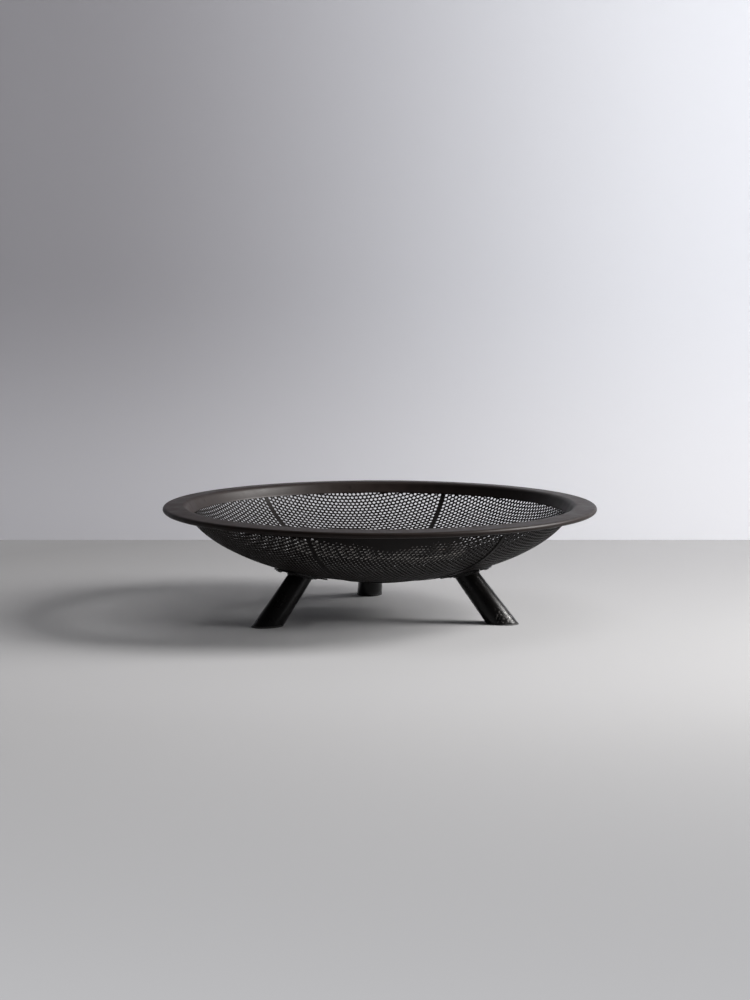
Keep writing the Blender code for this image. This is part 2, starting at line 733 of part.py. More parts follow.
def grate_legs(join_height):
    """Short tapered legs that stand on the dish and end inside the ring."""
    bm = bmesh.new()
    turns = [2 * math.pi * k / GRATE_LEG_SIDES for k in range(GRATE_LEG_SIDES)]
    middle = grate_middle_radius()
    seat = INNER_SEAT + facet_sag(middle)
    for angle in grate_leg_angles():
        centre = Vector((middle * math.cos(angle), middle * math.sin(angle)))
        foot = [centre + GRATE_LEG_FOOT_RADIUS * Vector((math.cos(turn), math.sin(turn))) for turn in turns]
        top = [centre + GRATE_LEG_TOP_RADIUS * Vector((math.cos(turn), math.sin(turn))) for turn in turns]
        low_ring = [bm.verts.new((p.x, p.y, dish_height(p.length, seat))) for p in foot]
        high_ring = [bm.verts.new((p.x, p.y, join_height)) for p in top]
        for k in range(GRATE_LEG_SIDES):
            bm.faces.new((low_ring[k - 1], low_ring[k], high_ring[k], high_ring[k - 1]))
        bm.faces.new(low_ring)
        bm.faces.new(high_ring)
    return bm


def make_grate(iron):
    """Ring, parallel bars and one cross bar joined into a single casting on short legs."""
    inner = GRATE_RADIUS - GRATE_RING_WIDTH
    middle = grate_middle_radius()
    ring_top = GRATE_TOP - GRATE_BAR_PROUD
    ring_foot = ring_top - GRATE_RING_HEIGHT
    ring = [(inner, ring_foot), (GRATE_RADIUS, ring_foot), (GRATE_RADIUS, ring_top), (inner, ring_top)]
    grate = add_object("fire_grate", turned_mesh("fire_grate", ring, RING_STEPS), iron)

    bars = bmesh.new()
    count = int(middle / GRATE_BAR_SPACING)
    for k in range(-count, count + 1):
        y = k * GRATE_BAR_SPACING
        half = math.sqrt(middle * middle - y * y)
        tapered_bar(bars, Vector((-half, y, 0)), Vector((half, y, 0)), GRATE_TOP, GRATE_BAR_HEIGHT)
    join_body(grate, bars, "grate_bar_guide")

    cross = bmesh.new()
    cross_top = GRATE_TOP - GRATE_CROSS_DROP
    tapered_bar(cross, Vector((0, -middle, 0)), Vector((0, middle, 0)), cross_top, GRATE_BAR_HEIGHT)
    join_body(grate, cross, "grate_cross_guide")
    join_body(grate, grate_legs((ring_top + ring_foot) / 2), "grate_leg_guide")


def join_body(piece, bm, name):
    """Joins a body to a piece with a Boolean union."""
    body = add_object(name, finish_mesh(bm, name), None)
    body.hide_render = True
    body.display_type = 'WIRE'
    union = piece.modifiers.new(name, 'BOOLEAN')
    union.operation = 'UNION'
    union.solver = 'EXACT'
    union.object = body


def main():
    for item in list(bpy.data.objects):
        bpy.data.objects.remove(item, do_unlink=True)
    rim_paint = new_material("satin_brown_black_paint", (0.030, 0.024, 0.021), 0.42, 0.0)
    mesh_paint = new_material("mesh_black_paint", (0.016, 0.014, 0.013), 0.55, 0.0)
    leg_paint = new_material("leg_black_paint", (0.010, 0.009, 0.009), 0.45, 0.0)
    cap = new_material("foot_cap_black", (0.012, 0.012, 0.012), 0.65, 0.0)
    zinc = new_material("zinc_fasteners", (0.50, 0.49, 0.46), 0.4, 1.0)
    wire_steel = new_material("edge_wire_steel", (0.20, 0.19, 0.18), 0.5, 1.0)
    iron = new_material("cast_iron_grate", (0.045, 0.042, 0.040), 0.75, 0.6)
    cutter = make_cutter()
    make_rim(rim_paint, wire_steel, cutter)
    make_collar_band(rim_paint, cutter)
    make_gores(mesh_paint, cutter)
    make_seam_straps(mesh_paint)
    make_hub(mesh_paint)
    make_leg_plates(leg_paint, cutter)
    make_legs(leg_paint, cap)
    make_rivets(rim_paint)
    make_bolts(zinc)
    make_grate(iron)


main()
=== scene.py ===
import math

import bmesh
import bpy
import numpy as np
from mathutils import Matrix, Vector, kdtree
from mathutils.geometry import delaunay_2d_cdt


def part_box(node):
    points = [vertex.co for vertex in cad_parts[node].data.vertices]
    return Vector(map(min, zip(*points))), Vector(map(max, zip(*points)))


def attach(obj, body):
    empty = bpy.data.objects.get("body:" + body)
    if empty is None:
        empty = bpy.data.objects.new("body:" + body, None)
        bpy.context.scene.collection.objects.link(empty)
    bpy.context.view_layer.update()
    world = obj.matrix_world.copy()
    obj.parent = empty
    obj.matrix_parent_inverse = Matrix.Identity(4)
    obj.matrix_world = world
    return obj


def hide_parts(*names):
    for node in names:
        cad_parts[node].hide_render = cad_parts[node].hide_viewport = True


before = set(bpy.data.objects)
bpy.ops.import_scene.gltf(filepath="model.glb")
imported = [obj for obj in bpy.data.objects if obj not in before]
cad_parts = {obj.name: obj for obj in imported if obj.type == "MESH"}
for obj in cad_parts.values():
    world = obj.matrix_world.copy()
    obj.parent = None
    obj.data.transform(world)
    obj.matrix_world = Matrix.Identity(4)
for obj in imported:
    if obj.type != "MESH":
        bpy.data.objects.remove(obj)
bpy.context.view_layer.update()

# Round fire pit: punched dish in gores, rolled rim, three splayed legs and a lift-out grate.
# Metres, +Z up, the back leg towards +Y.


# Shaders

class Socket:
    # an output socket, so that shader maths reads as Python
    def __init__(self, finish, socket):
        self.finish = finish
        self.socket = socket

    def maths(self, operation, first, second):
        return self.finish.add("ShaderNodeMath", {"operation": operation}, {0: first, 1: second})

    def __add__(self, other):
        return self.maths("ADD", self, other)

    def __sub__(self, other):
        return self.maths("SUBTRACT", self, other)

    def __rsub__(self, other):
        return self.maths("SUBTRACT", other, self)

    def __mul__(self, other):
        return self.maths("MULTIPLY", self, other)

    __radd__ = __add__
    __rmul__ = __mul__


class Finish:
    # a material and the few calls that its nodes are made with
    def __init__(self, name):
        self.material = bpy.data.materials.new(name)
        self.material.use_nodes = True
        self.tree = self.material.node_tree
        self.shader = self.tree.nodes["Principled BSDF"]
        self.place = self.add("ShaderNodeTexCoord", output="Object")

    def add(self, kind, settings=None, sockets=None, output=0):
        node = self.tree.nodes.new(kind)
        for key, value in (settings or {}).items():
            setattr(node, key, value)
        for key, value in (sockets or {}).items():
            self.plug(node.inputs[key], value)
        return Socket(self, node.outputs[output])

    def plug(self, socket, value):
        if isinstance(value, Socket):
            self.tree.links.new(value.socket, socket)
        else:
            socket.default_value = value

    def noise(self, scale, detail=3.0, roughness=0.55):
        return self.add("ShaderNodeTexNoise", {}, {"Vector": self.place, "Scale": scale, "Detail": detail,
                                                   "Roughness": roughness})

    def spread(self, value, low, high, bottom=0.0, top=1.0):
        # what lies between low and high becomes bottom to top, clamped
        return self.add("ShaderNodeMapRange", {"clamp": True},
                        {"Value": value, "From Min": low, "From Max": high, "To Min": bottom, "To Max": top})

    def blend(self, mask, first, second):
        # node Mix keeps its colour sockets at 6 and 7, and its colour output at 2
        return self.add("ShaderNodeMix", {"data_type": "RGBA"}, {0: mask, 6: first, 7: second}, output=2)

    def facingUp(self):
        normal = self.add("ShaderNodeNewGeometry", output="Normal")
        return self.add("ShaderNodeSeparateXYZ", {}, {0: normal}, output=2)

    def height(self):
        return self.add("ShaderNodeSeparateXYZ", {}, {0: self.place}, output=2)

    def reach(self, centre):
        # distance from a point of the model
        return self.add("ShaderNodeVectorMath", {"operation": "DISTANCE"},
                        {0: self.place, 1: centre}, output=1)

    def relief(self, height, strength, distance):
        bump = self.add("ShaderNodeBump", {}, {"Height": height, "Strength": strength, "Distance": distance})
        self.plug(self.shader.inputs["Normal"], bump)

    def set(self, **values):
        for key, value in values.items():
            self.plug(self.shader.inputs[key.replace("_", " ")], value)
        return self.material


def rgba(colour, share=1.0):
    return (*(part * share for part in colour), 1.0)


# an edge is the pair of noise values between which a patch fades in
paintLook = dict(
    mottleScale=38, tones=(0.82, 1.16), roughSpan=(0.05, 0.07), grainScale=1500, grainStrength=0.35,
    grainDepth=0.00006, speckScale=520, speckEdge=(0.66, 0.74), speckShare=0.02, dust=(0.15, 0.13, 0.12),
    dustShare=0.022, dustRough=0.5, soot=(0.003, 0.0027, 0.0025), sootPlace=(0.0, 0.0, 0.1), sootCore=0.45,
    sootScale=24, sootRough=0.25, chipScale=230, chipNear=0.16, chipEdge=(0.66, 0.685), chipDepth=2.5,
    bareEdge=(0.71, 0.73), bareRough=0.12, bareSteel=(0.15, 0.145, 0.14), primer=(0.035, 0.033, 0.032))


def heatPaint(name, colour, roughness, gloss, dust=1.0, patchy=1.0, sootRadius=0.0, chips=None):
    # heat-resistant satin paint: mottled, orange-peeled, dusty where it faces up, sooty towards the hub
    look = paintLook
    paint = Finish(name)
    mottle = paint.noise(look["mottleScale"])
    grain = paint.noise(look["grainScale"], 1.5)
    speck = paint.spread(paint.noise(look["speckScale"], 2.0), *look["speckEdge"])
    darker, paler = (rgba(colour, tone) for tone in look["tones"])
    shade = paint.blend(paint.spread(mottle, 0.3, 0.7), darker, paler)
    settled = paint.spread(paint.facingUp(), 0.25, 1.0) * paint.spread(mottle, 0.38, 0.72)
    dusty = settled * (look["dustShare"] * dust) + speck * (look["speckShare"] * dust)
    shade = paint.blend(dusty, shade, rgba(look["dust"]))
    smoother, rougher = (change * patchy for change in look["roughSpan"])
    rough = paint.spread(mottle, 0.25, 0.75, roughness - smoother, roughness + rougher)
    rough = rough + dusty * look["dustRough"]
    relief = grain
    if sootRadius:
        away = paint.reach(look["sootPlace"])
        sooted = paint.spread(away, sootRadius * look["sootCore"], sootRadius, 1.0, 0.0)
        sooted = sooted * paint.spread(paint.noise(look["sootScale"]), 0.3, 0.6)
        sooted = sooted * paint.spread(paint.facingUp(), 0.0, 0.2)
        shade = paint.blend(sooted, shade, rgba(look["soot"]))
        rough = rough + sooted * look["sootRough"]
    if chips:
        near = paint.spread(paint.reach(chips["place"]), chips["core"], chips["reach"], 1.0, 0.0)
        torn = paint.noise(look["chipScale"], 5.0, 0.7) + near * look["chipNear"]
        chipped = paint.spread(torn, *look["chipEdge"]) * paint.spread(near, 0.02, 0.12)
        bare = paint.spread(torn, *look["bareEdge"]) * chipped
        shade = paint.blend(chipped, shade, rgba(look["primer"]))
        shade = paint.blend(bare, shade, rgba(look["bareSteel"]))
        rough = rough - bare * look["bareRough"]
        relief = relief - chipped * look["chipDepth"]
    paint.relief(relief, look["grainStrength"], look["grainDepth"])
    return paint.set(Base_Color=shade, Roughness=rough, Specular_IOR_Level=gloss)


metalLook = dict(streakScale=420, streakStrength=0.25, streakDepth=0.00005, tones=(0.8, 1.15),
                 roughSpan=(0.06, 0.08), grimeScale=160, grime=(0.035, 0.031, 0.028), grimeRough=0.3,
                 grimeDull=0.8)


def dulledMetal(name, colour, roughness, grimeShare):
    # plated or bare steel with grime in patches
    look = metalLook
    metal = Finish(name)
    streak = metal.noise(look["streakScale"], 4.0)
    grime = metal.spread(metal.noise(look["grimeScale"]), 0.62 - grimeShare * 0.3, 0.72)
    darker, paler = (rgba(colour, tone) for tone in look["tones"])
    shade = metal.blend(metal.spread(streak, 0.3, 0.7), darker, paler)
    shade = metal.blend(grime, shade, rgba(look["grime"]))
    metal.relief(streak, look["streakStrength"], look["streakDepth"])
    smoother, rougher = look["roughSpan"]
    rough = metal.spread(streak, 0.3, 0.7, roughness - smoother, roughness + rougher)
    rough = rough + grime * look["grimeRough"]
    return metal.set(Base_Color=shade, Roughness=rough, Metallic=1.0 - grime * look["grimeDull"])


ironLook = dict(colour=(0.060, 0.056, 0.053), tones=(0.75, 1.25), patchScale=26,
                soot=(0.012, 0.011, 0.010), sootEdge=(0.55, 0.35), sootShare=0.8,
                rust=(0.105, 0.045, 0.022), rustEdge=(0.60, 0.74), rustShare=0.55,
                sandScale=900, lumpScale=190, lumpDepth=1.6, castStrength=0.6, castDepth=0.00035,
                roughness=0.72, roughSpan=(0.1, 0.12), metallic=0.35, gloss=0.4)


def sootyIron(name):
    # sand-cast skin, soot in patches and a little rust
    look = ironLook
    iron = Finish(name)
    sand = iron.noise(look["sandScale"], 3.0, 0.6)
    lump = iron.noise(look["lumpScale"], 3.0)
    patch = iron.noise(look["patchScale"], 4.0)
    darker, paler = (rgba(look["colour"], tone) for tone in look["tones"])
    shade = iron.blend(iron.spread(sand, 0.3, 0.7), darker, paler)
    rusty = iron.spread(patch, *look["rustEdge"], 0.0, look["rustShare"]) * iron.spread(lump, 0.4, 0.6)
    shade = iron.blend(rusty, shade, rgba(look["rust"]))
    sooty = iron.spread(patch, *look["sootEdge"], 0.0, look["sootShare"])
    shade = iron.blend(sooty, shade, rgba(look["soot"]))
    iron.relief(sand + lump * look["lumpDepth"], look["castStrength"], look["castDepth"])
    smoother, rougher = look["roughSpan"]
    rough = iron.spread(lump, 0.3, 0.7, look["roughness"] - smoother, look["roughness"] + rougher)
    return iron.set(Base_Color=shade, Roughness=rough, Metallic=look["metallic"],
                    Specular_IOR_Level=look["gloss"])


rubberLook = dict(colour=(0.014, 0.014, 0.014), roughness=(0.66, 0.80), pitScale=1100, pitStrength=0.4,
                  pitDepth=0.00012, scuff=(0.16, 0.15, 0.14), scuffScale=260, scuffEdge=(0.5, 0.65),
                  scuffTop=0.0028, scuffFoot=0.0004, scuffShare=0.35)


def mouldedRubber(name):
    # foot caps: fine pitted surface, pale scuffs near the floor
    look = rubberLook
    rubber = Finish(name)
    pits = rubber.noise(look["pitScale"], 3.0)
    scuffed = rubber.spread(rubber.height(), look["scuffTop"], look["scuffFoot"])
    scuffed = scuffed * rubber.spread(rubber.noise(look["scuffScale"]), *look["scuffEdge"])
    shade = rubber.blend(scuffed * look["scuffShare"], rgba(look["colour"]), rgba(look["scuff"]))
    rubber.relief(pits, look["pitStrength"], look["pitDepth"])
    rough = rubber.spread(pits, 0.3, 0.7, *look["roughness"])
    return rubber.set(Base_Color=shade, Roughness=rough)


# Meshes

seamless = math.radians(38)        # edges flatter than this are shaded smooth
weld = 1e-6                        # vertices closer than this are one


def piece(name, mesh, material, slot, *nodes, body="fire_pit", frameAt=None):
    # links a piece, stands it in for its CAD nodes and sets it riding
    made = bpy.data.objects.new(name, mesh)
    bpy.context.scene.collection.objects.link(made)
    if frameAt is not None:
        made.matrix_world = frameAt
    if not mesh.materials:
        mesh.materials.append(material)
    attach(made, body)
    if nodes:
        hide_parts(*nodes)
    return made


def shaded(mesh, angle=seamless):
    mesh.shade_smooth()
    mesh.set_sharp_from_angle(angle=angle)
    return mesh


def meshFrom(name, points, faces, angle=seamless):
    mesh = bpy.data.meshes.new(name)
    mesh.from_pydata([tuple(point) for point in points], [], faces)
    bm = bmesh.new()
    bm.from_mesh(mesh)
    bmesh.ops.remove_doubles(bm, verts=bm.verts, dist=weld)
    bmesh.ops.dissolve_degenerate(bm, edges=bm.edges, dist=weld)
    bmesh.ops.recalc_face_normals(bm, faces=bm.faces)
    bm.to_mesh(mesh)
    bm.free()
    return shaded(mesh, angle)


def loft(rings, closed=True, capped=False):
    # points and faces through rings of as many points each; closed joins the last ring to the first
    count = len(rings[0])
    points = [point for ring in rings for point in ring]
    faces = []
    for row in range(len(rings) if closed else len(rings) - 1):
        near = row * count
        far = (row + 1) % len(rings) * count
        for k in range(count):
            after = (k + 1) % count
            faces.append((near + k, near + after, far + after, far + k))
    if capped:
        faces.append(tuple(range(count)))
        faces.append(tuple(len(points) - 1 - k for k in range(count)))
    return points, faces


def lathe(name, outline, steps):
    # turns a closed outline of (radius, height) about Z
    turns = [2 * math.pi * k / steps for k in range(steps)]
    rings = [[(max(r, 0.0) * math.cos(t), max(r, 0.0) * math.sin(t), z) for r, z in outline] for t in turns]
    return meshFrom(name, *loft(rings))


def arc(centre, radius, start, sweep, steps):
    turns = [start + sweep * k / steps for k in range(steps + 1)]
    return [(centre[0] + radius * math.cos(t), centre[1] + radius * math.sin(t)) for t in turns]


def thickPath(path, thickness):
    # outline of a bent sheet with half-round ends
    line = [Vector(point) for point in path]
    sides = []
    for k, point in enumerate(line):
        along = (line[min(k + 1, len(line) - 1)] - line[max(k - 1, 0)]).normalized()
        sides.append((point, Vector((-along.y, along.x)), along))
    half = thickness / 2
    left = [point + side * half for point, side, along in sides]
    right = [point - side * half for point, side, along in sides]
    ends = []
    for point, side, along, way in ((*sides[-1], 1), (*sides[0], -1)):
        ends.append([point + (side * math.cos(t) + along * math.sin(t)) * half * way
                     for t in (math.pi / 4, math.pi / 2, math.pi * 3 / 4)])
    return [tuple(p) for p in left + ends[0] + right[::-1] + ends[1]]


# The dish's curve, which everything on it follows

dish = dict(radius=0.3845, depth=0.1398, sweep=math.radians(76.5), clearance=0.0745,
            sheet=0.0015, gap=0.0003, gores=6, seamAngle=math.radians(9))
ellipseWidth = dish["radius"] / math.sin(dish["sweep"])
ellipseDepth = dish["depth"] / (1 - math.cos(dish["sweep"]))
goreAngle = 2 * math.pi / dish["gores"]
insideDish = dish["sheet"] + dish["gap"]
underDish = -dish["gap"]


def slopeAt(station):
    share = station / ellipseWidth
    return np.arctan(ellipseDepth / ellipseWidth * share / np.sqrt(1 - share * share))


def onDish(station, inward=0.0):
    # radius and height at a station, a distance inward from the underside
    share = station / ellipseWidth
    slope = slopeAt(station)
    height = dish["clearance"] + ellipseDepth * (1 - np.sqrt(1 - share * share))
    return station - inward * np.sin(slope), height + inward * np.cos(slope)


stationTable = np.linspace(0.0, dish["radius"], 2001)
tableRadii, tableHeights = onDish(stationTable)
lengthTable = np.concatenate([[0.0], np.cumsum(np.hypot(np.diff(tableRadii), np.diff(tableHeights)))])
dishLength = lengthTable[-1]


def stationOf(length):
    return np.interp(length, lengthTable, stationTable)


def lengthOf(station):
    return float(np.interp(station, stationTable, lengthTable))


def dishFrame(station, angle):
    # X up the dish, Z along the inward normal
    radius, height = onDish(station)
    tilt = Matrix.Rotation(-float(slopeAt(station)), 4, "Y")
    return Matrix.Rotation(angle, 4, "Z") @ Matrix.Translation((float(radius), 0, float(height))) @ tilt


def nodeMiddle(node):
    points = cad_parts[node].data.vertices
    return sum((v.co for v in points), Vector()) / len(points)


def inwardOf(node):
    # least distance of a CAD node from the dish's underside, inward
    slope = slopeAt(stationTable)
    least = []
    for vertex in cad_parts[node].data.vertices:
        radius = math.hypot(vertex.co.x, vertex.co.y)
        along = (radius - tableRadii) * np.cos(slope) + (vertex.co.z - tableHeights) * np.sin(slope)
        across = (vertex.co.z - tableHeights) * np.cos(slope) - (radius - tableRadii) * np.sin(slope)
        least.append(float(np.interp(0.0, -along, across)))
    return min(least)


def seatOf(node):
    # the frame of the dish whose normal passes through a CAD node's middle
    middle = nodeMiddle(node)
    radius = math.hypot(middle.x, middle.y)
    slope = slopeAt(stationTable)
    along = (radius - tableRadii) * np.cos(slope) + (middle.z - tableHeights) * np.sin(slope)
    station = float(np.interp(0.0, -along, stationTable))
    return dishFrame(station, math.atan2(middle.y, middle.x))


def punchedSheet(name, outline, holes, fillers, toSpace, outer, inner, sides=12):
    # a sheet bent by toSpace(flat points, inward), from its flat outline, its round holes (x, y, radius)
    # and fillers, which are points on the plain parts
    flat = [tuple(point) for point in outline]
    edges = [(k, (k + 1) % len(flat)) for k in range(len(flat))]
    for x, y, radius in holes:
        first = len(flat)
        turns = [2 * math.pi * (k + 0.5) / sides for k in range(sides)]
        flat += [(x + radius * math.cos(t), y + radius * math.sin(t)) for t in turns]
        edges += [(first + k, first + (k + 1) % sides) for k in range(sides)]
    flat += [tuple(point) for point in fillers]
    points, _, triangles, *_ = delaunay_2d_cdt([Vector(p) for p in flat], edges, [], 1, 1e-7)
    points = np.array([tuple(p) for p in points])
    triangles = np.array([tuple(t) for t in triangles])
    corners = points[triangles]
    turned = np.cross(corners[:, 1] - corners[:, 0], corners[:, 2] - corners[:, 0]) < 0
    triangles[turned] = triangles[turned][:, ::-1]
    if holes:
        # triangles inside a hole are dropped
        tree = kdtree.KDTree(len(holes))
        for k, (x, y, radius) in enumerate(holes):
            tree.insert((x, y, 0.0), k)
        tree.balance()
        keep = []
        for centre in points[triangles].mean(1):
            _, nearest, distance = tree.find((centre[0], centre[1], 0.0))
            keep.append(distance > holes[nearest][2] * 0.999)
        triangles = triangles[np.array(keep)]
    count = len(points)
    space = np.concatenate([toSpace(points, inner), toSpace(points, outer)])
    directed = np.concatenate([triangles[:, (0, 1)], triangles[:, (1, 2)], triangles[:, (2, 0)]])
    known = set(map(tuple, directed.tolist()))
    rims = [(a, b) for a, b in known if (b, a) not in known]
    faces = triangles.tolist() + (triangles[:, ::-1] + count).tolist()
    faces += [(b, a, a + count, b + count) for a, b in sorted(rims)]
    mesh = bpy.data.meshes.new(name)
    mesh.from_pydata(space.tolist(), [], faces)
    used = bmesh.new()
    used.from_mesh(mesh)
    bmesh.ops.delete(used, geom=[v for v in used.verts if not v.link_faces], context="VERTS")
    used.to_mesh(mesh)
    used.free()
    return shaded(mesh)


# Paints and metals

legLook = dict(colour=(0.0018, 0.0014, 0.0013), roughness=0.28, gloss=0.26, dust=0.2, patchy=0.4)
finishes = dict(
    rim_paint=heatPaint("satinRimPaint", (0.0085, 0.0043, 0.0031), 0.44, gloss=0.19, dust=0.6),
    mesh_paint=heatPaint("punchedSheetPaint", (0.0034, 0.0022, 0.0018), 0.46, gloss=0.12, dust=0.3,
                         sootRadius=0.30),
    leg_paint=heatPaint("legPaint", **legLook),
    fasteners=dulledMetal("sootedZinc", (0.014, 0.013, 0.012), 0.5, 0.8),
    edge_wire=dulledMetal("bareWire", (0.30, 0.29, 0.28), 0.38, 0.25),
    foot_cap=mouldedRubber("footCapRubber"),
    grate_iron=sootyIron("sootyCastIron"))
print("finishes made:", len(finishes))


# Rim: skirt inside the dish, crest, flange and an edge rolled round a wire

rim = dict(sheet=0.0018, skirt=0.0185, crestBend=0.011, flange=0.0385, fall=math.radians(3.5),
           curl=0.0055, curlSweep=math.radians(270), steps=256, skirtPoints=7, crestSteps=12,
           flangeSteps=8, curlSteps=20, wireSides=14)


def rimPath():
    bend = rim["crestBend"] - rim["sheet"] / 2
    curl = rim["curl"] - rim["sheet"] / 2
    fall = rim["fall"]
    low = float(stationOf(dishLength - rim["skirt"]))
    middle = insideDish + rim["sheet"] / 2
    stations = np.linspace(low, dish["radius"], rim["skirtPoints"])
    skirt = [tuple(map(float, onDish(s, middle))) for s in stations]
    slope = float(slopeAt(dish["radius"]))
    bendCentre = (skirt[-1][0] + bend * math.sin(slope), skirt[-1][1] - bend * math.cos(slope))
    crest = arc(bendCentre, bend, math.pi / 2 + slope, -(slope + fall), rim["crestSteps"])
    length = rim["flange"] - rim["curl"]
    start = crest[-1]
    steps = rim["flangeSteps"]
    flange = [(start[0] + length * k / steps * math.cos(fall), start[1] - length * k / steps * math.sin(fall))
              for k in range(1, steps)]
    end = (start[0] + length * math.cos(fall), start[1] - length * math.sin(fall))
    curlCentre = (end[0] - curl * math.sin(fall), end[1] - curl * math.cos(fall))
    rolled = arc(curlCentre, curl, math.pi / 2 - fall, -rim["curlSweep"], rim["curlSteps"])
    return skirt[:-1] + crest + flange + rolled, curlCentre


rimLine, curlCentre = rimPath()
piece("rimRing", lathe("rimRing", thickPath(rimLine, rim["sheet"]), rim["steps"]),
      finishes["rim_paint"], "rim_paint", "rim_ring")
wireRadius = rim["curl"] - rim["sheet"] - dish["gap"]
wireOutline = arc(curlCentre, wireRadius, 0, 2 * math.pi, rim["wireSides"])[:-1]
piece("rimEdgeWire", lathe("rimEdgeWire", wireOutline, rim["steps"]),
      finishes["edge_wire"], "edge_wire", "rim_edge_wire")

band = dict(width=0.0095, sheet=0.0015, points=5)
bandLow = float(stationOf(dishLength - band["width"]))
bandStations = np.linspace(bandLow, dish["radius"] - dish["gap"], band["points"])
bandLine = [tuple(map(float, onDish(s, underDish - band["sheet"] / 2))) for s in bandStations]
piece("collarBand", lathe("collarBand", thickPath(bandLine, band["sheet"]), rim["steps"]),
      finishes["rim_paint"], "rim_paint", "collar_band")
print("rim made")


# Gores of punched sheet

punching = dict(hole=0.0034, pitch=0.0095, seamMargin=0.0012, collarMargin=-0.0075, hubMargin=0.0035,
                plateMargin=0.0020, edgeStep=0.0045)
legPlate = dict(length=0.086, width=0.076, sheet=0.003, corner=0.011, edge=0.0006)
hub = dict(radius=0.090, sheet=0.0025, tip=0.030)
# the sheet is plain in a tongue under the front of the rim, and the holes shrink to least towards it
plainTongue = dict(bearing=math.radians(272.9), depth=0.032, spread=0.060, reach=0.135, least=0.45,
                   fade=0.026)

legAngles = []
for number in (1, 2, 3):
    foot = nodeMiddle(f"foot_cap_{number}")
    legAngles.append(math.atan2(foot.y, foot.x) % (2 * math.pi))
# how far up the dish the legs' plates lie
plateMiddle = nodeMiddle("leg_saddle_1")
plateRadii = onDish(stationTable, underDish - legPlate["sheet"] / 2)[0]
plateStation = np.interp(math.hypot(plateMiddle.x, plateMiddle.y), plateRadii, stationTable)
plateLength = lengthOf(float(plateStation))


def goreSpace(start):
    # flat gore, x along its middle line, bent on to the dish
    def toSpace(points, inward):
        length = np.hypot(points[:, 0], points[:, 1])
        turn = start + goreAngle / 2 + np.arctan2(points[:, 1], points[:, 0])
        radius, height = onDish(stationOf(length), inward)
        return np.stack([radius * np.cos(turn), radius * np.sin(turn), height], 1)
    return toSpace


def goreOutline():
    step = punching["edgeStep"]
    half = goreAngle / 2
    top = dishLength - dish["gap"]
    low = lengthOf(hub["tip"])
    lengths = np.linspace(low, top, round((top - low) / step))
    turns = half - dish["gap"] / 2 / stationOf(lengths)
    rising = [(s * math.cos(t), s * math.sin(t)) for s, t in zip(lengths, -turns)]
    falling = [(s * math.cos(t), s * math.sin(t)) for s, t in zip(lengths, turns)][::-1]
    across = []
    for length, turn in ((top, turns[-1]), (low, turns[0])):
        count = max(round(2 * turn * length / step), 2)
        inner = [turn * (2 * k / count - 1) for k in range(1, count)]
        across.append([(length * math.cos(t), length * math.sin(t)) for t in inner])
    return rising + across[0] + falling + across[1][::-1]


def tongueDepth(turn, radius):
    # how far the plain sheet reaches down from the skirt's edge at a bearing
    aside = abs(turn - plainTongue["bearing"]) * radius
    if aside > plainTongue["reach"]:
        return punching["collarMargin"]
    tail = math.exp(-plainTongue["reach"] / plainTongue["spread"])
    return plainTongue["depth"] * (math.exp(-aside / plainTongue["spread"]) - tail) / (1 - tail)


def gorePunching(start):
    # the holes of a gore in staggered rows, and points in their place where the sheet stays plain
    pitch = punching["pitch"]
    radius = punching["hole"]
    half = goreAngle / 2
    collar = dishLength - rim["skirt"] - punching["collarMargin"] - radius
    tongueTop = dishLength - rim["skirt"] - radius
    inmost = lengthOf(hub["radius"]) + punching["hubMargin"] + radius
    room = radius + punching["plateMargin"]
    clear = pitch / 3              # no point lies nearer to the seams or the top than this
    holes = []
    fillers = []
    rowPitch = pitch * math.sqrt(3) / 2
    rows = int(dishLength / rowPitch) + 1
    columns = int(dishLength * math.sin(half) / pitch) + 1
    for row in range(rows):
        x = row * rowPitch
        for column in range(-columns, columns + 1):
            y = (column + (0.5 if row % 2 else 0.0)) * pitch
            length = math.hypot(x, y)
            if not lengthOf(hub["tip"]) < length < dishLength - clear:
                continue
            aside = math.atan2(y, x)
            seamDistance = length * math.sin(half - abs(aside))
            if abs(aside) >= half or seamDistance < clear:
                continue
            turn = (start + half + aside) % (2 * math.pi)
            ground = float(stationOf(length))
            tongue = tongueDepth(turn, ground)
            limit = min(collar, tongueTop - tongue)
            plain = seamDistance < radius + punching["seamMargin"]
            plain = plain or not inmost < length < limit
            for legAngle in legAngles:
                offTurn = (turn - legAngle + math.pi) % (2 * math.pi) - math.pi
                onLength = abs(length - plateLength) < legPlate["length"] / 2 + room
                plain = plain or (onLength and abs(offTurn) * ground < legPlate["width"] / 2 + room)
            if plain:
                fillers.append((x, y))
                continue
            share = 1.0
            if tongue > 0:
                share = min(1.0, plainTongue["least"] + (limit - length) / plainTongue["fade"])
            holes.append((x, y, radius * share))
    return holes, fillers


holeTotal = 0
outline = goreOutline()
for number in range(1, dish["gores"] + 1):
    start = dish["seamAngle"] + (number - 1) * goreAngle
    holes, fillers = gorePunching(start)
    holeTotal += len(holes)
    gore = punchedSheet(f"meshPanel{number}", outline, holes, fillers, goreSpace(start), 0.0, dish["sheet"])
    piece(f"meshPanel{number}", gore, finishes["mesh_paint"], "mesh_paint", f"mesh_panel_{number}")
print("gores made, holes punched:", holeTotal)


# Straps, saddles and backing plates: flat patches bent on to the dish

def patchSpace(angle, lift=None):
    # x is the length up the dish, y the distance to the side
    def toSpace(points, inward):
        raised = inward + (lift(points) if lift else 0.0)
        radius, height = onDish(stationOf(points[:, 0]), raised)
        turn = angle + np.arcsin(points[:, 1] / radius)
        return np.stack([radius * np.cos(turn), radius * np.sin(turn), height], 1)
    return toSpace


